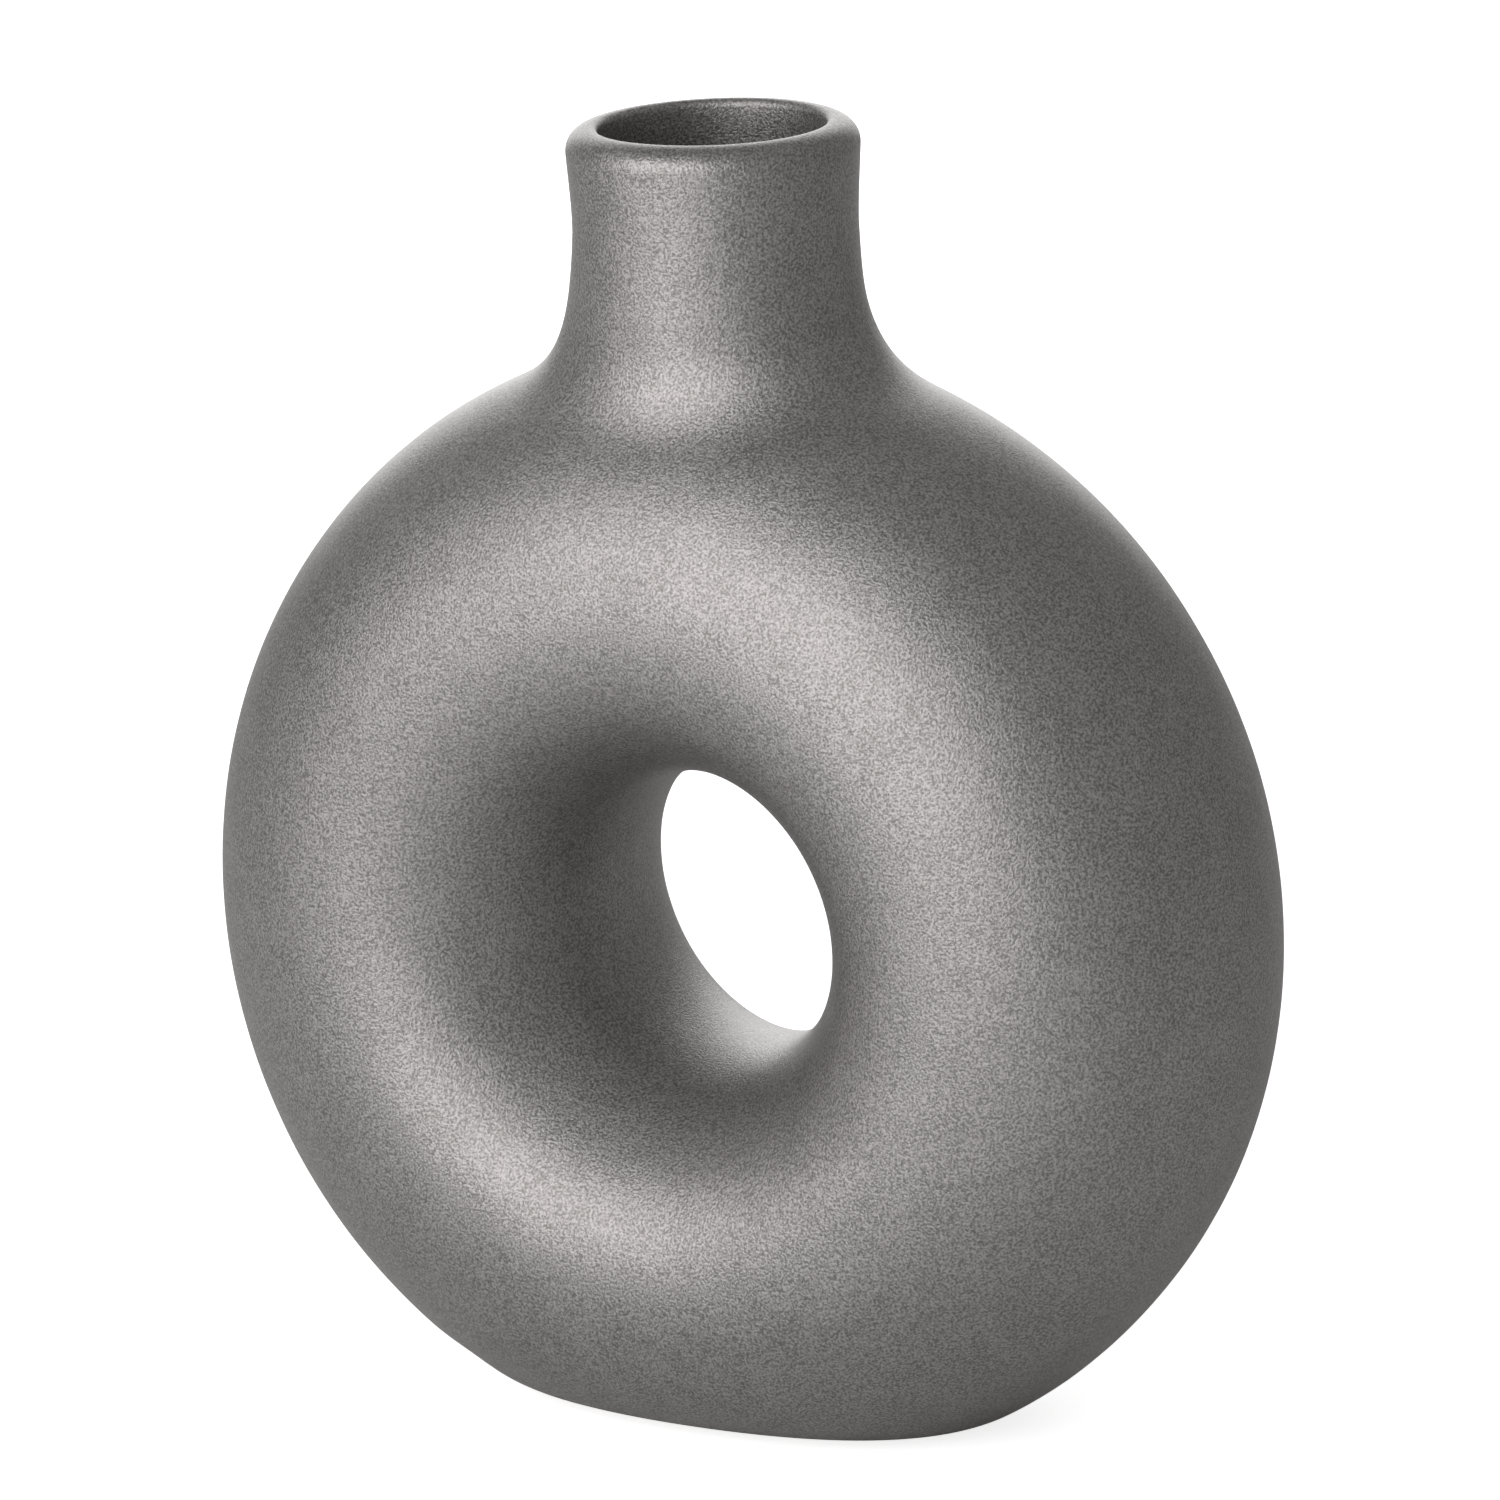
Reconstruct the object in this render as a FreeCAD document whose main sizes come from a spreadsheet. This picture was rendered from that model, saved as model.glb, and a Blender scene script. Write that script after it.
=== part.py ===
import FreeCAD, Part
import os
import sys
from math import acos, atan2, pi

import Sketcher

# Donut vase in stoneware: a hollow ring that stands on its edge, with a short round neck on top.
#
# Frame: millimetres, +Z up, origin on the table under the middle of the ring. The ring lies in the XZ
# plane, its hole runs along Y, and the front is the -Y side.
#
# The vase is made in four pieces of clay. Two moulded half rings meet edge to edge on the ring's middle
# plane, and each carries half of the neck's lower part. A slab closes them below and is the foot, and a
# collar with a rolled lip sits on them as the upper neck. The joints are plain butt joints, luted with
# slip at the leather-hard stage and wiped flush, and the vase is then fired as one.

V = FreeCAD.Vector

# Driving dimensions in millimetres.
SIZES = {
    "ring_radius": 61.0,        # from the hole's axis to the crest of the ring's face
    "half_depth": 44.8,         # half the depth front to back, and the round of the ring's outer half
    "inner_bulge": 34.7,        # from the crest in to the waist of the hole
    "crest_round": 28.0,        # round of the face between the crest and the hole
    "wall": 5.5,                # thickness of the clay
    "foot_drop": 11.5,          # how much of the full round is missing under the flat foot
    "foot_round": 22.0,         # soft edge of the foot
    "slab_thickness": 7.0,      # base slab
    "recess_length": 56.0,      # dry hollow under the foot, so that it stands on its rim
    "recess_width": 22.0,
    "recess_depth": 1.5,
    "neck_radius": 26.0,        # neck at its waist
    "neck_rise": 39.9,          # top of the lip above the top of the ring
    "neck_shift": 1.2,          # the hand-set neck stands this far left of the middle
    "shoulder_round": 23.0,     # hollow curve from the neck out to the ring
    "collar_seat": 20.0,        # neck joint above the top of the ring
    "lip_flare": 0.9,           # how far the lip rolls out past the neck's waist
    "lip_drop": 17.0,           # from the top of the lip down to where the roll starts
    "lip_outer_round": 4.8,
    "lip_inner_round": 1.4,
    "cut_overrun": 10.0,        # how far a cutting shape runs past what it cuts
}

# Sizes that follow from the driving ones. All but the last three are from the middle of the hole.
OUTER_RADIUS = "(sizes.ring_radius + sizes.half_depth)"
FOOT_LEVEL = f"({OUTER_RADIUS} - sizes.foot_drop)"
FLOOR_LEVEL = f"({FOOT_LEVEL} - sizes.slab_thickness)"
SEAT_LEVEL = f"({OUTER_RADIUS} + sizes.collar_seat)"
NECK_TOP = f"({OUTER_RADIUS} + sizes.neck_rise)"
REACH = f"({NECK_TOP} + sizes.cut_overrun)"
SKIN = "0"
INNER_SKIN = "sizes.wall"
BORE_RADIUS = "(sizes.neck_radius - sizes.wall)"

# Point positions and built-in geometry as the sketcher numbers them.
START, END, CENTRE = range(1, 4)
X_AXIS, Y_AXIS = range(-1, -3, -1)

CLOSE = 0.001
SAMPLES = 5


class Form:
    """A body whose origin is the middle of the ring's hole."""

    def __init__(self, doc, name):
        self.doc = doc
        self.body = doc.addObject("PartDesign::Body", name)
        self.body.Label = name
        self.body.setExpression("Placement.Base.z", FOOT_LEVEL)

    def sketch(self, name, role):
        sketch = self.body.newObject("Sketcher::SketchObject", name)
        planes = self.body.Origin.OriginFeatures
        sketch.AttachmentSupport = [(next(p for p in planes if p.Role == role), "")]
        sketch.MapMode = "FlatFace"
        return sketch

    def turn(self, kind, name, sketch, angle=360):
        """Turns a section round its sketch's upright axis, through the front, to add or to take away."""
        turned = self.body.newObject(f"PartDesign::{kind}", name)
        turned.Profile = sketch
        turned.ReferenceAxis = (sketch, ["V_Axis"])
        turned.Angle = angle
        turned.Reversed = True

    def fillet(self, name, chosen, radius):
        """Rounds the edges of the shape so far that the test picks."""
        self.doc.recompute()
        start = self.body.Tip
        edges = [f"Edge{i}" for i, e in enumerate(start.Shape.Edges, start=1) if chosen(e)]
        if not edges:
            sys.exit(f"{self.body.Label}: {name} finds no edge to round")
        rounded = self.body.newObject("PartDesign::Fillet", name)
        rounded.Base = (start, edges)
        rounded.setExpression("Radius", radius)

    def mirror(self, name):
        """Adds the back half to a shape that has only its front half."""
        self.doc.recompute()
        planes = self.body.Origin.OriginFeatures
        both = self.body.newObject("PartDesign::Mirrored", name)
        both.TransformMode = "Whole shape"
        both.MirrorPlane = (next(p for p in planes if p.Role == "XZ_Plane"), [""])
        self.body.Tip = both

    def cut_away(self, name, low, high):
        """Cuts off a layer between two levels over the middle of the hole."""
        doc = self.doc
        doc.recompute()
        before = self.body.Shape.Volume
        reach, start, stop = value(doc, REACH), value(doc, low), value(doc, high)
        sketch = self.sketch(f"{name}_section", "XZ_Plane")
        bottom, right, top, left = sketch.addGeometry([
            line(-reach, start, reach, start),
            line(reach, start, reach, stop),
            line(reach, stop, -reach, stop),
            line(-reach, stop, -reach, start),
        ])
        constrain(
            sketch,
            ("Coincident", bottom, END, right, START),
            ("Coincident", right, END, top, START),
            ("Coincident", top, END, left, START),
            ("Coincident", left, END, bottom, START),
            ("Vertical", right),
            ("Horizontal", top),
            ("Vertical", left),
            ("Symmetric", bottom, START, bottom, END, Y_AXIS),
        )
        drive(sketch, "width", f"2 * {REACH}", "DistanceX", bottom, START, bottom, END)
        drive(sketch, "low", low, "DistanceY", X_AXIS, START, bottom, START)
        drive(sketch, "high", high, "DistanceY", X_AXIS, START, top, START)
        cut = self.body.newObject("PartDesign::Pocket", name)
        cut.Profile = sketch
        cut.SideType = "Symmetric"
        cut.Type = "ThroughAll"
        doc.recompute()
        if self.body.Shape.Volume > before - CLOSE:
            sys.exit(f"{self.body.Label}: {name} cuts nothing")


def value(doc, expression):
    """What an expression comes to with the sheet's present values."""
    return float(doc.getObject("sizes").evalExpression(expression))


def drive(sketch, name, expression, *constraint):
    """Adds a dimension to a sketch and ties it to the sheet."""
    index = sketch.addConstraint(Sketcher.Constraint(*constraint, value(sketch.Document, expression)))
    sketch.renameConstraint(index, name)
    sketch.setExpression(f"Constraints.{name}", expression)


def constrain(sketch, *constraints):
    for constraint in constraints:
        sketch.addConstraint(Sketcher.Constraint(*constraint))


def arc(x, y, radius, start, end):
    return Part.ArcOfCircle(Part.Circle(V(x, y, 0), V(0, 0, 1), radius), start, end)


def line(x1, y1, x2, y2):
    return Part.LineSegment(V(x1, y1, 0), V(x2, y2, 0))


def front_of_ring(form, kind, name, inset):
    """The front half of the ring, turned about the hole's axis. Its section is a quarter circle outside the
    crest and, on the hole's side, a flatter curve of two arcs. It lies inset inside the vase's skin."""
    doc = form.doc
    radius = value(doc, "sizes.ring_radius")
    depth = value(doc, f"sizes.half_depth - {inset}")
    bulge = value(doc, f"sizes.inner_bulge - {inset}")
    crest = value(doc, f"sizes.crest_round - {inset}")
    waist = (bulge**2 + depth**2 - 2 * depth * crest) / (2 * (bulge - crest))
    turn = acos((depth - crest) / (waist - crest))

    sketch = form.sketch(f"{name}_section", "XY_Plane")
    outer, face, hole, middle = sketch.addGeometry([
        arc(radius, 0, depth, -pi / 2, 0),
        arc(radius, crest - depth, crest, 3 * pi / 2 - turn, 3 * pi / 2),
        arc(radius - bulge + waist, 0, waist, pi, 3 * pi / 2 - turn),
        line(radius - bulge, 0, radius + depth, 0),
    ])
    constrain(
        sketch,
        ("Tangent", hole, END, face, START),
        ("Tangent", face, END, outer, START),
        ("Coincident", outer, END, middle, END),
        ("Coincident", middle, START, hole, START),
        ("PointOnObject", middle, START, X_AXIS),
        ("PointOnObject", middle, END, X_AXIS),
        ("PointOnObject", outer, CENTRE, X_AXIS),
        ("PointOnObject", hole, CENTRE, X_AXIS),
        ("Vertical", outer, CENTRE, outer, START),
    )
    drive(sketch, "crest_place", "sizes.ring_radius", "DistanceX", X_AXIS, START, outer, CENTRE)
    drive(sketch, "half_depth", f"sizes.half_depth - {inset}", "Radius", outer)
    drive(sketch, "crest_round", f"sizes.crest_round - {inset}", "Radius", face)
    drive(sketch, "hole_radius", f"sizes.ring_radius - sizes.inner_bulge + {inset}",
          "DistanceX", X_AXIS, START, middle, START)
    form.turn(kind, name, sketch)


def front_of_stub(form, kind, name, radius, top):
    """The front half of the neck up to where the collar sits, or of its bore, from inside the ring."""
    doc = form.doc
    width, base, height = value(doc, radius), value(doc, "sizes.ring_radius"), value(doc, top)
    sketch = form.sketch(f"{name}_section", "XZ_Plane")
    axis, floor, side, lid = sketch.addGeometry([
        line(0, height, 0, base),
        line(0, base, width, base),
        line(width, base, width, height),
        line(width, height, 0, height),
    ])
    constrain(
        sketch,
        ("Coincident", axis, END, floor, START),
        ("Coincident", floor, END, side, START),
        ("Coincident", side, END, lid, START),
        ("Coincident", lid, END, axis, START),
        ("PointOnObject", axis, START, Y_AXIS),
        ("Vertical", axis),
        ("Horizontal", floor),
        ("Vertical", side),
        ("Horizontal", lid),
    )
    drive(sketch, "base", "sizes.ring_radius", "DistanceY", X_AXIS, START, floor, START)
    drive(sketch, "top", top, "DistanceY", X_AXIS, START, axis, START)
    drive(sketch, "radius", radius, "DistanceX", floor, START, floor, END)
    sketch.setExpression("AttachmentOffset.Base.x", "-sizes.neck_shift")
    form.turn(kind, name, sketch, angle=180)


def shoulder(form, name, neck_radius, radius):
    """Rounds the line where the neck, or its bore, runs into the ring."""
    doc = form.doc
    reach, shift = value(doc, neck_radius), value(doc, "sizes.neck_shift")
    seat = value(doc, SEAT_LEVEL)

    def on_the_joint(edge):
        points = edge.discretize(Number=SAMPLES)
        return all(abs(V(p.x + shift, p.y, 0).Length - reach) < CLOSE and p.z < seat - CLOSE for p in points) \
            and edge.BoundBox.XLength > reach

    form.fillet(name, on_the_joint, radius)


def foot(form):
    """The flat foot under the ring, with its soft edge."""
    form.cut_away("foot", f"-{REACH}", f"-{FOOT_LEVEL}")
    low = -value(form.doc, FOOT_LEVEL)

    def on_the_rim(edge):
        points = edge.discretize(Number=SAMPLES)
        return all(abs(p.z - low) < CLOSE for p in points) and max(abs(p.y) for p in points) > CLOSE

    form.fillet("foot_edge", on_the_rim, "sizes.foot_round")


def ring_front_half(doc):
    half = Form(doc, "ring_front_half")
    front_of_ring(half, "Revolution", "ring", SKIN)
    front_of_stub(half, "Revolution", "neck", "sizes.neck_radius", SEAT_LEVEL)
    shoulder(half, "shoulder", "sizes.neck_radius", "sizes.shoulder_round")
    foot(half)
    front_of_ring(half, "Groove", "chamber", INNER_SKIN)
    front_of_stub(half, "Groove", "bore", BORE_RADIUS, REACH)
    shoulder(half, "throat", BORE_RADIUS, "sizes.shoulder_round + sizes.wall")
    half.cut_away("base", f"-{REACH}", f"-{FLOOR_LEVEL}")
    return half.body


def ring_back_half(doc, front):
    back = doc.addObject("Part::Mirroring", "ring_back_half")
    back.Label = "ring_back_half"
    back.Source = front
    back.Normal = V(0, 1, 0)
    return back


def base_slab(doc):
    """The slab, with a shallow slot-shaped hollow under it."""
    slab = Form(doc, "base_slab")
    front_of_ring(slab, "Revolution", "ring", SKIN)
    foot(slab)
    slab.cut_away("above", f"-{FLOOR_LEVEL}", REACH)
    slab.mirror("both_sides")

    length, width = value(doc, "sizes.recess_length"), value(doc, "sizes.recess_width")
    end, half = (length - width) / 2, width / 2
    sketch = slab.sketch("recess_section", "XY_Plane")
    sketch.setExpression("AttachmentOffset.Base.z", f"-{FOOT_LEVEL}")
    right, top, left, bottom = sketch.addGeometry([
        arc(end, 0, half, -pi / 2, pi / 2),
        line(end, half, -end, half),
        arc(-end, 0, half, pi / 2, 3 * pi / 2),
        line(-end, -half, end, -half),
    ])
    constrain(
        sketch,
        ("Tangent", right, END, top, START),
        ("Tangent", top, END, left, START),
        ("Tangent", left, END, bottom, START),
        ("Tangent", bottom, END, right, START),
        ("Horizontal", top),
        ("Symmetric", right, CENTRE, left, CENTRE, X_AXIS, START),
    )
    drive(sketch, "straight", "sizes.recess_length - sizes.recess_width", "DistanceX", top, END, top, START)
    drive(sketch, "end_round", "sizes.recess_width / 2", "Radius", right)
    recess = slab.body.newObject("PartDesign::Pocket", "recess")
    recess.Profile = sketch
    recess.Reversed = True
    recess.setExpression("Length", "sizes.recess_depth")
    return slab.body


def neck_collar(doc):
    """The collar, turned as one section: straight, then rolled out a little to the rounded lip."""
    radius, bore = value(doc, "sizes.neck_radius"), value(doc, BORE_RADIUS)
    seat, top = value(doc, SEAT_LEVEL), value(doc, NECK_TOP)
    drop, flare = value(doc, "sizes.lip_drop"), value(doc, "sizes.lip_flare")
    outer_round, inner_round = value(doc, "sizes.lip_outer_round"), value(doc, "sizes.lip_inner_round")
    rise = drop - outer_round
    roll = (flare**2 + rise**2) / (2 * flare) - outer_round
    meet = atan2(rise, roll + outer_round - flare)

    collar = Form(doc, "neck_collar")
    collar.body.setExpression("Placement.Base.x", "-sizes.neck_shift")
    sketch = collar.sketch("collar_section", "XZ_Plane")
    joint, side, hollow, lip, rim, mouth, inside = sketch.addGeometry([
        line(bore, seat, radius, seat),
        line(radius, seat, radius, top - drop),
        arc(radius + roll, top - drop, roll, pi - meet, pi),
        arc(radius + flare - outer_round, top - outer_round, outer_round, -meet, pi / 2),
        line(radius + flare - outer_round, top, bore + inner_round, top),
        arc(bore + inner_round, top - inner_round, inner_round, pi / 2, pi),
        line(bore, top - inner_round, bore, seat),
    ])
    constrain(
        sketch,
        ("Coincident", joint, END, side, START),
        ("Tangent", side, END, hollow, END),
        ("Tangent", hollow, START, lip, START),
        ("Tangent", lip, END, rim, START),
        ("Tangent", rim, END, mouth, START),
        ("Tangent", mouth, END, inside, START),
        ("Coincident", inside, END, joint, START),
        ("Horizontal", joint),
        ("Vertical", side),
        ("Horizontal", rim),
        ("Vertical", inside),
    )
    drive(sketch, "seat", SEAT_LEVEL, "DistanceY", X_AXIS, START, joint, START)
    drive(sketch, "top", NECK_TOP, "DistanceY", X_AXIS, START, rim, START)
    drive(sketch, "bore_radius", BORE_RADIUS, "DistanceX", X_AXIS, START, joint, START)
    drive(sketch, "neck_radius", "sizes.neck_radius", "DistanceX", X_AXIS, START, joint, END)
    drive(sketch, "lip_drop", "sizes.lip_drop", "DistanceY", side, END, rim, START)
    drive(sketch, "lip_outer_round", "sizes.lip_outer_round", "Radius", lip)
    drive(sketch, "lip_inner_round", "sizes.lip_inner_round", "Radius", mouth)
    drive(sketch, "lip_centre", "sizes.neck_radius + sizes.lip_flare - sizes.lip_outer_round",
          "DistanceX", X_AXIS, START, lip, CENTRE)
    collar.turn("Revolution", "collar", sketch)
    return collar.body


def build(doc):
    add_sizes(doc)
    front = ring_front_half(doc)
    return [front, ring_back_half(doc, front), neck_collar(doc), base_slab(doc)]


def add_sizes(doc):
    """Puts the driving dimensions in the sheet, one row each, with the name as the cell's alias."""
    sheet = doc.addObject("Spreadsheet::Sheet", "sizes")
    for row, (name, size) in enumerate(SIZES.items(), start=1):
        sheet.set(f"A{row}", name)
        sheet.set(f"B{row}", str(size))
        sheet.setAlias(f"B{row}", name)
    doc.recompute()


def check(doc, pieces):
    """Stops if anything in the document failed, or a piece isn't one sound solid."""
    failed = [o.Name for o in doc.Objects if "Invalid" in o.State or "Error" in o.State]
    if failed:
        sys.exit(f"failed: {', '.join(failed)}")
    for piece in pieces:
        shape = piece.Shape
        if shape.isNull() or not shape.isValid() or len(shape.Solids) != 1:
            sys.exit(f"{piece.Label} is not one sound solid")
        box = shape.optimalBoundingBox()
        print(f"{piece.Label}: {shape.Volume:.0f} mm3, "
              f"{box.XLength:.1f} x {box.YLength:.1f} x {box.ZLength:.1f} mm, z {box.ZMin:.1f} to {box.ZMax:.1f}")


def main():
    doc = FreeCAD.newDocument("donut_vase")
    pieces = build(doc)
    doc.recompute()
    check(doc, pieces)
    os.makedirs("parts", exist_ok=True)
    for piece in pieces:
        piece.Shape.exportStep(f"parts/{piece.Label}.step")


main()
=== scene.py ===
from math import cos, exp, pi, radians, sin

import bmesh
import bpy
from mathutils import Matrix, Vector, noise
from mathutils.kdtree import KDTree


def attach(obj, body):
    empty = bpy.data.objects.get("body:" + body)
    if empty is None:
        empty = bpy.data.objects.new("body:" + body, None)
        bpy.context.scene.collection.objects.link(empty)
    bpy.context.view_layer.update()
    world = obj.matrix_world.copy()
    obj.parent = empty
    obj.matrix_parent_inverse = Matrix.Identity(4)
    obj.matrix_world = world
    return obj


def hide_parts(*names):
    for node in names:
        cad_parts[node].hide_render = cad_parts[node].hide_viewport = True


# Donut vase in grey stoneware, in metres. The ring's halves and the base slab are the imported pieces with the
# slight unevenness of handmade ware worked into their skin, and the neck's collar is turned to match them.

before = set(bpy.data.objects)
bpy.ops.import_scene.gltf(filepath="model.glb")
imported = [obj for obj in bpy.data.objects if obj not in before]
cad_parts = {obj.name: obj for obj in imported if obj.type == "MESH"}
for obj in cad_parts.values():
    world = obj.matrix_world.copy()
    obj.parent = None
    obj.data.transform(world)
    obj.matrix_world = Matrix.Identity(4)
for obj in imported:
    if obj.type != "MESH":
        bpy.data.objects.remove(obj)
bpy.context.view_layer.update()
scene = bpy.context.scene
mm = 0.001
tiny = 0.001 * mm                  # nearer than this is the same place


def hexColour(code):
    # sRGB hex to the linear colour that shaders take
    channels = [int(code[i:i + 2], 16) / 255 for i in (0, 2, 4)]
    linear = [c / 12.92 if c <= 0.04045 else ((c + 0.055) / 1.055) ** 2.4 for c in channels]
    return (*linear, 1.0)


def addNode(tree, kind, links=(), **settings):
    # links pair an input with the output or the value that goes into it
    node = tree.nodes.new(kind)
    for name, setting in settings.items():
        setattr(node, name, setting)
    for name, source in links:
        if isinstance(source, bpy.types.NodeSocket):
            tree.links.new(source, node.inputs[name])
        else:
            node.inputs[name].default_value = source
    return node


def newMaterial(name):
    material = bpy.data.materials.new(name)
    material.use_nodes = True
    tree = material.node_tree
    tree.nodes.clear()
    return material, tree


clay = {
    "voxel": 1.25 * mm,            # grain of the working mesh
    "quickTimes": 2,
    "smoothPasses": 11,            # these take the grain's steps off
    "cutSlack": 0.0005 * mm,       # a cut takes points this near as lying on it
    "ringCentre": 94.3 * mm,       # height of the hole's axis
    "holeWall": 36 * mm,           # the clay round the hole lies inside this radius
    "footJoint": 7.0 * mm,         # top of the slab
    "collarJoint": 220.1 * mm,     # the collar's seat
    "pitDepth": 3.5 * mm,          # keeps the vase's floor clear of the slab's joint while the pieces are cut
    "pitShares": (0.84, 0.83, 1),
    "pitStart": 0.01 * mm,         # below the joint
    "sag": 0.55 * mm,              # the ring is a little fuller below than above
    "lean": 0.35 * mm,             # and at its lower left
    "ringStart": (20 * mm, 70 * mm),         # sag and lean come in over these distances from the hole's axis
    "ringEnd": (124 * mm, 112 * mm),         # and are gone again at the neck
    "dents": 0.24 * mm,            # deepest soft dent left by hands and sponge
    "dentSize": 38 * mm,
    "footFade": 12 * mm,           # the foot was ground flat, so the unevenness dies out towards it
    "jointFade": 7 * mm,           # the joints themselves stay flat
    "sideFade": (-6 * mm, 26 * mm),          # what is meant for one side of the neck comes in over this width
    "lipDrop": 0.3 * mm,           # the lip stands lower on its left
    "lipFade": (222 * mm, 236 * mm),         # the drop comes in over this height
    "shoulderFill": (1.7 * mm, 0.8 * mm),    # extra clay smoothed into the shoulder's left and right
    "shoulderBand": (205 * mm, 10 * mm),     # its height, and how far it spreads
    "shoulderFade": (60 * mm, 36 * mm),      # it ends this far out on the ring
}


def smoothStep(low, high, x):
    t = min(max((x - low) / (high - low), 0), 1)
    return t * t * (3 - 2 * t)


def unevenness(p, normal):
    # how far the potter's hands moved a point of the skin
    dx, dz = p.x, p.z - clay["ringCentre"]
    reach = max((dx * dx + dz * dz) ** 0.5, tiny)
    c, s = dx / reach, dz / reach
    onRing = smoothStep(*clay["ringStart"], reach) * smoothStep(*clay["ringEnd"], reach)
    move = Vector((c, 0, s)) * onRing * (2 * clay["lean"] * s * c - clay["sag"] * s)
    move -= normal * clay["dents"] * (0.5 + 0.5 * noise.noise(p / clay["dentSize"]))
    left, right = smoothStep(*clay["sideFade"], -dx), smoothStep(*clay["sideFade"], dx)
    move.z -= clay["lipDrop"] * left * smoothStep(*clay["lipFade"], p.z)
    height, spread = clay["shoulderBand"]
    near = exp(-((p.z - height) / spread) ** 2) * smoothStep(*clay["shoulderFade"], abs(dx))
    leftFill, rightFill = clay["shoulderFill"]
    move.x += (rightFill * right - leftFill * left) * near
    move *= smoothStep(0, clay["footFade"], p.z)
    move.y *= smoothStep(0, clay["jointFade"], abs(p.y))
    for level in (clay["footJoint"], clay["collarJoint"]):
        move.z *= smoothStep(0, clay["jointFade"], abs(p.z - level))
    return move


def edgesOf(result, key):
    return [g for g in result[key] if isinstance(g, bmesh.types.BMEdge)]


def cut(bm, point, normal, clear=True):
    # cuts off the side that the normal points to, or with clear off only marks the line, and returns the rim
    result = bmesh.ops.bisect_plane(bm, geom=bm.verts[:] + bm.edges[:] + bm.faces[:], dist=clay["cutSlack"],
                                    plane_co=point, plane_no=normal, clear_outer=clear)
    return edgesOf(result, "geom_cut")


def openFloor(slab):
    # sinks the slab's top inside its rim
    rim = cut(slab, (0, 0, clay["footJoint"] - clay["pitStart"]), (0, 0, 1))
    for shares, drop in ((clay["pitShares"], 0), ((1, 1, 1), clay["pitDepth"])):
        ring = bmesh.ops.extrude_edge_only(slab, edges=rim)
        points = [g for g in ring["geom"] if isinstance(g, bmesh.types.BMVert)]
        bmesh.ops.scale(slab, vec=shares, verts=points)
        bmesh.ops.translate(slab, vec=(0, 0, -drop), verts=points)
        rim = edgesOf(ring, "geom")
    bmesh.ops.contextual_create(slab, geom=rim)


def joinedClay():
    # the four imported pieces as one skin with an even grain
    joined = bmesh.new()
    for name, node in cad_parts.items():
        piece = bmesh.new()
        piece.from_mesh(node.data)
        bmesh.ops.remove_doubles(piece, verts=piece.verts, dist=tiny)
        if name == "base_slab":
            openFloor(piece)
        mesh = bpy.data.meshes.new(name + "Merged")
        piece.to_mesh(mesh)
        piece.free()
        joined.from_mesh(mesh)
    mesh = bpy.data.meshes.new("joinedClay")
    joined.to_mesh(mesh)
    joined.free()
    worker = bpy.data.objects.new("joinedClay", mesh)
    scene.collection.objects.link(worker)
    remesh = worker.modifiers.new("grain", "REMESH")
    remesh.mode = "VOXEL"
    remesh.voxel_size = clay["voxel"] * 1
    even = worker.evaluated_get(bpy.context.evaluated_depsgraph_get())
    whole = bmesh.new()
    whole.from_mesh(even.to_mesh())
    even.to_mesh_clear()
    bpy.data.objects.remove(worker)
    return whole


def shapeClay(whole):
    for _ in range(clay["smoothPasses"]):
        bmesh.ops.smooth_vert(whole, verts=whole.verts, factor=0.5, use_axis_x=True, use_axis_y=True,
                              use_axis_z=True)
    cut(whole, (0, 0, 0), (0, 1, 0), clear=False)
    cut(whole, (0, 0, clay["footJoint"]), (0, 0, 1), clear=False)
    cut(whole, (0, 0, clay["collarJoint"]), (0, 0, 1), clear=False)
    whole.normal_update()
    moves = [(v, unevenness(v.co, v.normal)) for v in whole.verts]
    for v, move in moves:
        v.co += move
        v.co.z = max(v.co.z, 0)
    whole.normal_update()


def loopsOf(rim):
    # the closed loops that a cut's edges make
    left, loops = set(rim), []
    while left:
        start = left.pop()
        loop, ends = [start], list(start.verts)
        while ends:
            v = ends.pop()
            for e in v.link_edges:
                if e in left:
                    left.remove(e)
                    loop.append(e)
                    ends.append(e.other_vert(v))
        loops.append(loop)
    return loops


def fillRim(bm, rim, bridge=False):
    # closes a cut with flat joint faces; a ring-shaped joint is bridged from its outer loop to its inner one
    if bridge:
        faces = bmesh.ops.bridge_loops(bm, edges=rim)["faces"]
    else:
        faces = bmesh.ops.contextual_create(bm, geom=rim)["faces"]
    for face in faces:
        face.smooth = False


def finishPiece(name, node, bm, material, skin=None):
    # makes the object, with the joined skin's normals on all but the joint faces, so that no joint shades
    bmesh.ops.recalc_face_normals(bm, faces=bm.faces)
    mesh = bpy.data.meshes.new(name)
    bm.to_mesh(mesh)
    bm.free()
    if skin:
        tree, normals = skin
        nearest = [normals[tree.find(v.co)[1]] for v in mesh.vertices]
        split = []
        for face in mesh.polygons:
            split += [nearest[i] if face.use_smooth else face.normal for i in face.vertices]
        mesh.normals_split_custom_set(split)
    mesh.materials.append(material)
    piece = bpy.data.objects.new(name, mesh)
    scene.collection.objects.link(piece)
    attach(piece, "root")
    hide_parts(node)
    print(name, len(mesh.polygons), "faces")
    return piece


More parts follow.
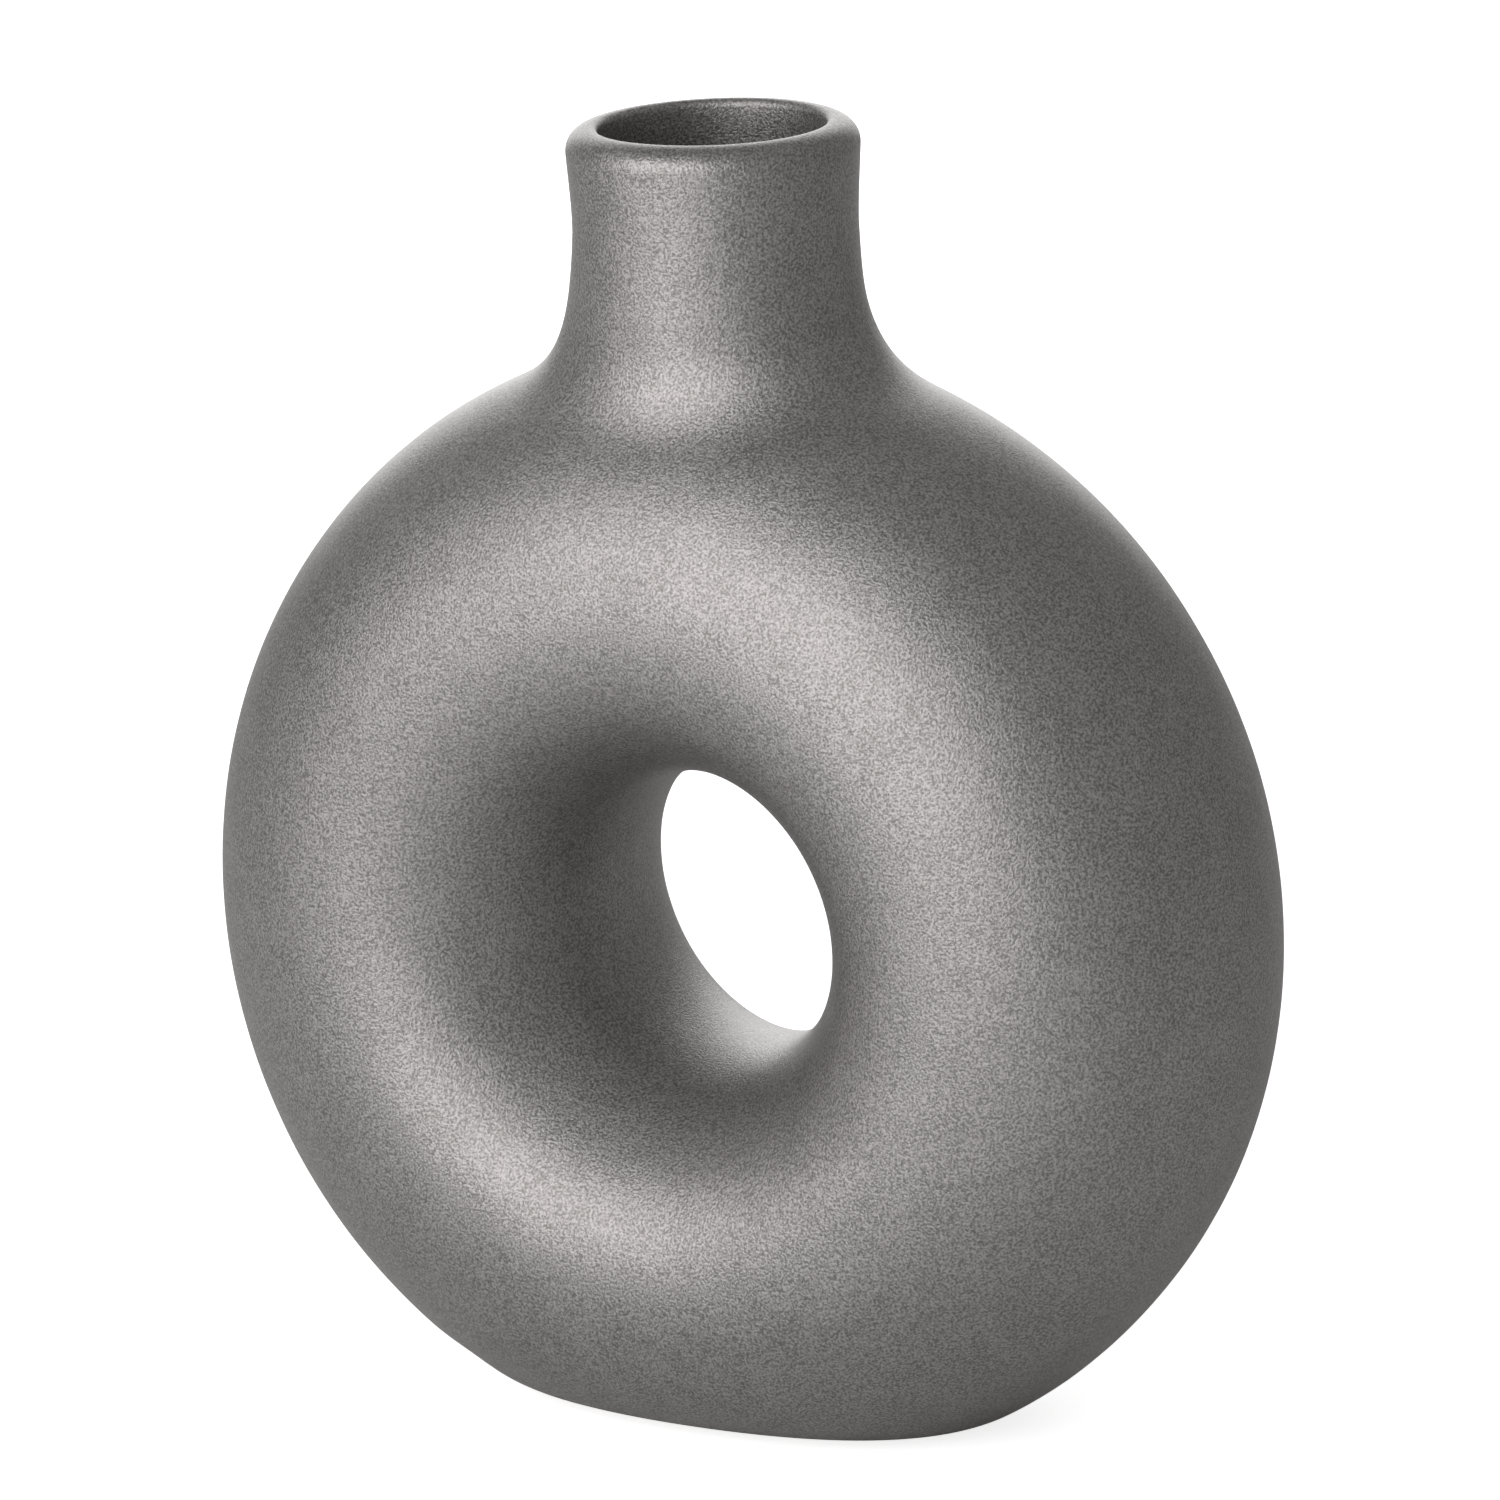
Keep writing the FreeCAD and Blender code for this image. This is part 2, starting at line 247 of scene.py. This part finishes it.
glaze = {
    "colour": "a7a5a3",            # warm grey, where it breaks thin over the crystals
    "pooled": "706f6c",            # where it lies thicker
    "levels": (0.42, 0.68),        # the noise is all pooled below the first and all thin above the second
    "grain": 0.46 * mm,            # size of the matt crystals, drawn a little coarse so that they show
    "grainDetail": 2.0,
    "grainBreak": 0.6,
    "blotch": 9 * mm,              # size of the faint clouds in its thickness
    "blotchDetail": 3.0,
    "blotchShare": 0.1,
    "metallic": 0.8,
    "roughness": 0.42,
    "roughnessSpread": 0.05,
    "spreadOver": (0.3, 0.7),      # the part of the noise that the spread covers
    "grainDepth": 0.14 * mm,
    "bareClay": "8d8478",
    "bareRoughness": 0.85,
    "bareLevel": 1.9 * mm,         # the clay is bare where it faces down below this height
    "facesDown": -0.7,
}


def stonewareGlaze():
    # matt satin glaze with fine metallic crystals, as iron and manganese leave it: it glows softly where it faces
    # the light, and has a fine dark grain. The clay under the foot is bare.
    material, tree = newMaterial("stonewareGlaze")
    coords = addNode(tree, "ShaderNodeTexCoord")
    place = coords.outputs["Object"]
    fine = addNode(tree, "ShaderNodeTexNoise", (
        ("Vector", place), ("Scale", 1 / glaze["grain"]), ("Detail", glaze["grainDetail"]),
        ("Roughness", glaze["grainBreak"]))).outputs["Fac"]
    wide = addNode(tree, "ShaderNodeTexNoise", (
        ("Vector", place), ("Scale", 1 / glaze["blotch"]), ("Detail", glaze["blotchDetail"]))).outputs["Fac"]
    thinness = addNode(tree, "ShaderNodeMath", ((0, wide), (1, glaze["blotchShare"]), (2, fine)),
                       operation="MULTIPLY_ADD").outputs[0]
    tint = addNode(tree, "ShaderNodeValToRGB", (("Fac", thinness),))
    for stop, level, colour in zip(tint.color_ramp.elements, glaze["levels"], ("pooled", "colour")):
        stop.position, stop.color = level, hexColour(glaze[colour])
    low, high = glaze["spreadOver"]
    rough = addNode(tree, "ShaderNodeMapRange", (
        ("Value", fine), ("From Min", low), ("From Max", high),
        ("To Min", glaze["roughness"] - glaze["roughnessSpread"]),
        ("To Max", glaze["roughness"] + glaze["roughnessSpread"]))).outputs[0]
    bump = addNode(tree, "ShaderNodeBump", (("Height", fine), ("Distance", glaze["grainDepth"]),
                   ("Strength", 1.0))).outputs[0]
    skin = addNode(tree, "ShaderNodeBsdfPrincipled", (("Base Color", tint.outputs[0]),
                   ("Metallic", glaze["metallic"]), ("Roughness", rough), ("Normal", bump)))
    biscuit = addNode(tree, "ShaderNodeBsdfPrincipled", (("Base Color", hexColour(glaze["bareClay"])),
                      ("Roughness", glaze["bareRoughness"]), ("Normal", bump)))
    height = addNode(tree, "ShaderNodeSeparateXYZ", ((0, place),)).outputs["Z"]
    facing = addNode(tree, "ShaderNodeSeparateXYZ", ((0, coords.outputs["Normal"]),)).outputs["Z"]
    below = addNode(tree, "ShaderNodeMath", ((0, height), (1, glaze["bareLevel"])),
                    operation="LESS_THAN").outputs[0]
    down = addNode(tree, "ShaderNodeMath", ((0, facing), (1, glaze["facesDown"])),
                   operation="LESS_THAN").outputs[0]
    bare = addNode(tree, "ShaderNodeMath", ((0, below), (1, down)), operation="MULTIPLY").outputs[0]
    surface = addNode(tree, "ShaderNodeMixShader", ((0, bare), (1, skin.outputs[0]), (2, biscuit.outputs[0])))
    addNode(tree, "ShaderNodeOutputMaterial", (("Surface", surface.outputs[0]),))
    return material


stonewareMaterial = stonewareGlaze()

whole = joinedClay()
shapeClay(whole)
print("clay joined and shaped,", len(whole.verts), "points")

skinTree = KDTree(len(whole.verts))
skinNormals = []
for v in whole.verts:
    skinTree.insert(v.co, v.index)
    skinNormals.append(v.normal.copy())
skinTree.balance()
skin = (skinTree, skinNormals)


ringMiddle = Vector((0, 0, clay["ringCentre"]))


def ringHalf(name, node, away):
    half = whole.copy()
    fillRim(half, cut(half, (0, 0, clay["collarJoint"]), (0, 0, 1)), bridge=True)
    fillRim(half, cut(half, (0, 0, clay["footJoint"]), (0, 0, -1)), bridge=True)
    aroundHole = []
    for loop in loopsOf(cut(half, (0, 0, 0), (0, away, 0))):
        farthest = max((v.co - ringMiddle).length for e in loop for v in e.verts)
        if farthest < clay["holeWall"]:
            aroundHole += loop
        else:
            fillRim(half, loop)
    fillRim(half, aroundHole, bridge=True)
    return finishPiece(name, node, half, stonewareMaterial, skin)


ringHalf("ringFront", "ring_front_half", 1)
ringHalf("ringBack", "ring_back_half", -1)


def baseSlab():
    slab = whole.copy()
    loops = loopsOf(cut(slab, (0, 0, clay["footJoint"]), (0, 0, 1)))
    loops.sort(key=lambda loop: max(v.co.x for e in loop for v in e.verts))
    pit, ends = set(), [loops[0][0].verts[0]]
    while ends:
        v = ends.pop()
        if v not in pit:
            pit.add(v)
            ends += [e.other_vert(v) for e in v.link_edges]
    bmesh.ops.delete(slab, geom=list(pit), context="VERTS")
    fillRim(slab, [e for e in slab.edges if e.is_boundary])
    return finishPiece("baseSlab", "base_slab", slab, stonewareMaterial, skin)


baseSlab()

collar = {
    "axis": -1.2 * mm,             # the neck stands this far left of the middle
    "radius": 25.92 * mm,          # 0.08 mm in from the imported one, as is the smoothed stub that it sits on
    "bore": 20.57 * mm,            # and as much wider, for the same reason
    "straightTop": 223.0 * mm,
    "top": 240.0 * mm,
    "lipReach": 27.05 * mm,
    "flareRound": 4.5 * mm,
    "lipRound": 4.8 * mm,
    "mouthRound": 1.4 * mm,
    "roundSteps": {"flareRound": 6, "lipRound": 12, "mouthRound": 6},
    "longEdge": 2 * mm,            # an upright edge longer than this is parted, for the dents to show
    "uprightEdge": 1 * mm,         # and counts as upright when it climbs more than this
    "edgeCuts": 8,
    "turns": 160,
}


def neckCollar():
    bm = bmesh.new()
    seat, top = clay["collarJoint"], collar["top"]
    corners = [(collar["bore"], seat), (collar["radius"], seat), (collar["radius"], collar["straightTop"]),
               (collar["lipReach"], top), (collar["bore"], top)]
    points = [bm.verts.new((collar["axis"] + r, 0, z)) for r, z in corners]
    bm.faces.new(points)
    for point, (size, steps) in zip(points[2:], collar["roundSteps"].items()):
        bmesh.ops.bevel(bm, geom=[point], affect="VERTICES", offset=collar[size], offset_type="OFFSET",
                        segments=steps, profile=0.5, material=-1)
    bmesh.ops.delete(bm, geom=bm.faces[:], context="FACES_ONLY")
    long = [e for e in bm.edges if e.calc_length() > collar["longEdge"]
            and abs(e.verts[0].co.z - e.verts[1].co.z) > collar["uprightEdge"]]
    bmesh.ops.subdivide_edges(bm, edges=long, cuts=collar["edgeCuts"])
    bmesh.ops.spin(bm, geom=bm.verts[:] + bm.edges[:], cent=(collar["axis"], 0, 0), axis=(0, 0, 1),
                   angle=2 * pi, steps=collar["turns"], use_merge=True)
    bmesh.ops.recalc_face_normals(bm, faces=bm.faces)
    bm.normal_update()
    middle = (collar["bore"] + collar["radius"]) / 2
    moves = []
    for v in bm.verts:
        normal = v.normal
        if v.co.z < seat + tiny:
            across = v.co - Vector((collar["axis"], 0, v.co.z))
            normal = across.normalized() * (1 if across.length > middle else -1)
        moves.append((v, unevenness(v.co, normal)))
    for v, move in moves:
        v.co += move
    for face in bm.faces:
        face.smooth = face.calc_center_median().z > seat + tiny
    for e in bm.edges:
        e.smooth = len({f.smooth for f in e.link_faces}) == 1
    return finishPiece("neckCollar", "neck_collar", bm, stonewareMaterial)


neckCollar()
whole.free()
print("pieces made")

view = {
    "azimuth": 30.73,              # degrees round from the front
    "elevation": 15.61,
    "roll": -2.0,                  # the vase leans a little in the photograph
    "distance": 1.864,
    "lens": 243.8,
    "point": (0, 0, 93.2 * mm),    # this point of the vase
    "pixel": (745.1, 907.0),       # lies here in the photograph
    "frame": 1500,
    "sensor": 36.0,
    "clip": (0.05, 50),
}


def setCamera():
    data = bpy.data.cameras.new("photographCamera")
    data.lens, data.sensor_width = view["lens"], view["sensor"]
    data.clip_start, data.clip_end = view["clip"]
    a, e, r = (radians(view[k]) for k in ("azimuth", "elevation", "roll"))
    back = Vector((sin(a) * cos(e), -cos(a) * cos(e), sin(e)))
    level = Vector((cos(a), sin(a), 0))
    upright = back.cross(level)
    right = cos(r) * level + sin(r) * upright
    up = cos(r) * upright - sin(r) * level
    focal = view["lens"] / view["sensor"] * view["frame"]
    acrossPixels = view["frame"] / 2 - view["pixel"][0]
    upPixels = view["pixel"][1] - view["frame"] / 2
    middle = (-back * focal + right * acrossPixels + up * upPixels).normalized()
    right = middle.cross(up).normalized()
    up = right.cross(middle)
    camera = bpy.data.objects.new("photographCamera", data)
    turn = Matrix((right, up, -middle)).transposed().to_4x4()
    camera.matrix_world = Matrix.Translation(Vector(view["point"]) + back * view["distance"]) @ turn
    scene.collection.objects.link(camera)
    scene.camera = camera


setCamera()

studio = {
    "key": {"azimuth": -13, "elevation": 21, "distance": 1.3, "size": (1.7, 1.3), "watts": 18,
            "colour": (1.0, 0.97, 0.995)},
    "back": {"azimuth": 212, "elevation": 16, "distance": 1.4, "size": (1.2, 0.9), "watts": 6.5,
             "colour": (1.0, 1.0, 1.0)},
    "lampAim": 0.12,               # both softboxes look at this height
    "pool": {"place": (0.08, -0.46, 1.4), "cone": 31, "blend": 0.4, "lampSize": 0.05, "watts": 54},
    "room": 0.41,                  # the room's own level
    "backLevel": 1.0,              # the bright wall behind the vase
    "backFade": (0.8, 0.98),       # cosines off the view's direction where the wall comes in and is full
    "floorColour": "dadada",
    "floorGlow": 0.80,             # what the white sweep shows the camera on top of its own light
    "floorSize": 8.0,
}


def addLamp(name, settings):
    data = bpy.data.lights.new(name, "AREA")
    data.shape = "RECTANGLE"
    data.size, data.size_y = settings["size"]
    data.energy, data.color = settings["watts"], settings["colour"]
    a, e = radians(settings["azimuth"]), radians(settings["elevation"])
    out = Vector((sin(a) * cos(e), -cos(a) * cos(e), sin(e)))
    lamp = bpy.data.objects.new(name, data)
    lamp.matrix_world = (Matrix.Translation(out * settings["distance"] + Vector((0, 0, studio["lampAim"])))
                         @ out.to_track_quat("Z", "Y").to_matrix().to_4x4())
    lamp.visible_camera = False
    scene.collection.objects.link(lamp)


addLamp("keySoftbox", studio["key"])
addLamp("backSoftbox", studio["back"])


def floorPool():
    # lights the floor before the vase, so that the ring's lower front has something bright to reflect
    pool = studio["pool"]
    data = bpy.data.lights.new("floorPool", "SPOT")
    data.energy = pool["watts"]
    data.spot_size, data.spot_blend = radians(pool["cone"]), pool["blend"]
    data.shadow_soft_size = pool["lampSize"]
    lamp = bpy.data.objects.new("floorPool", data)
    lamp.location = pool["place"]
    scene.collection.objects.link(lamp)


floorPool()


def studioWorld():
    world = bpy.data.worlds.new("studioRoom")
    world.use_nodes = True
    tree = world.node_tree
    tree.nodes.clear()
    path = addNode(tree, "ShaderNodeLightPath")
    way = addNode(tree, "ShaderNodeTexCoord").outputs["Generated"]
    a = radians(view["azimuth"])
    behind = addNode(tree, "ShaderNodeVectorMath", ((0, way), (1, (-sin(a), cos(a), 0))),
                     operation="DOT_PRODUCT").outputs["Value"]
    low, high = studio["backFade"]
    bright = addNode(tree, "ShaderNodeMapRange", (("Value", behind), ("From Min", low), ("From Max", high),
                     ("To Min", studio["room"]), ("To Max", studio["backLevel"])),
                     interpolation_type="SMOOTHSTEP").outputs[0]
    seen = addNode(tree, "ShaderNodeMix", ((0, path.outputs["Is Camera Ray"]), (2, bright), (3, 1.0)))
    glow = addNode(tree, "ShaderNodeBackground", (("Strength", seen.outputs[0]),))
    addNode(tree, "ShaderNodeOutputWorld", (("Surface", glow.outputs[0]),))
    scene.world = world


studioWorld()


def studioFloor():
    material, tree = newMaterial("whiteSweep")
    path = addNode(tree, "ShaderNodeLightPath")
    paper = addNode(tree, "ShaderNodeBsdfDiffuse", (("Color", hexColour(studio["floorColour"])),))
    glow = addNode(tree, "ShaderNodeEmission", (("Color", (1, 1, 1, 1)), ("Strength", studio["floorGlow"])))
    both = addNode(tree, "ShaderNodeAddShader", ((0, paper.outputs[0]), (1, glow.outputs[0])))
    seen = addNode(tree, "ShaderNodeMixShader", ((0, path.outputs["Is Camera Ray"]), (1, paper.outputs[0]),
                   (2, both.outputs[0])))
    addNode(tree, "ShaderNodeOutputMaterial", (("Surface", seen.outputs[0]),))
    bm = bmesh.new()
    bmesh.ops.create_grid(bm, x_segments=1, y_segments=1, size=studio["floorSize"] / 2)
    mesh = bpy.data.meshes.new("studioFloor")
    bm.to_mesh(mesh)
    bm.free()
    mesh.materials.append(material)
    floor = bpy.data.objects.new("studioFloor", mesh)
    scene.collection.objects.link(floor)


studioFloor()
scene.view_settings.view_transform = "Standard"
print("camera, lights and floor set")
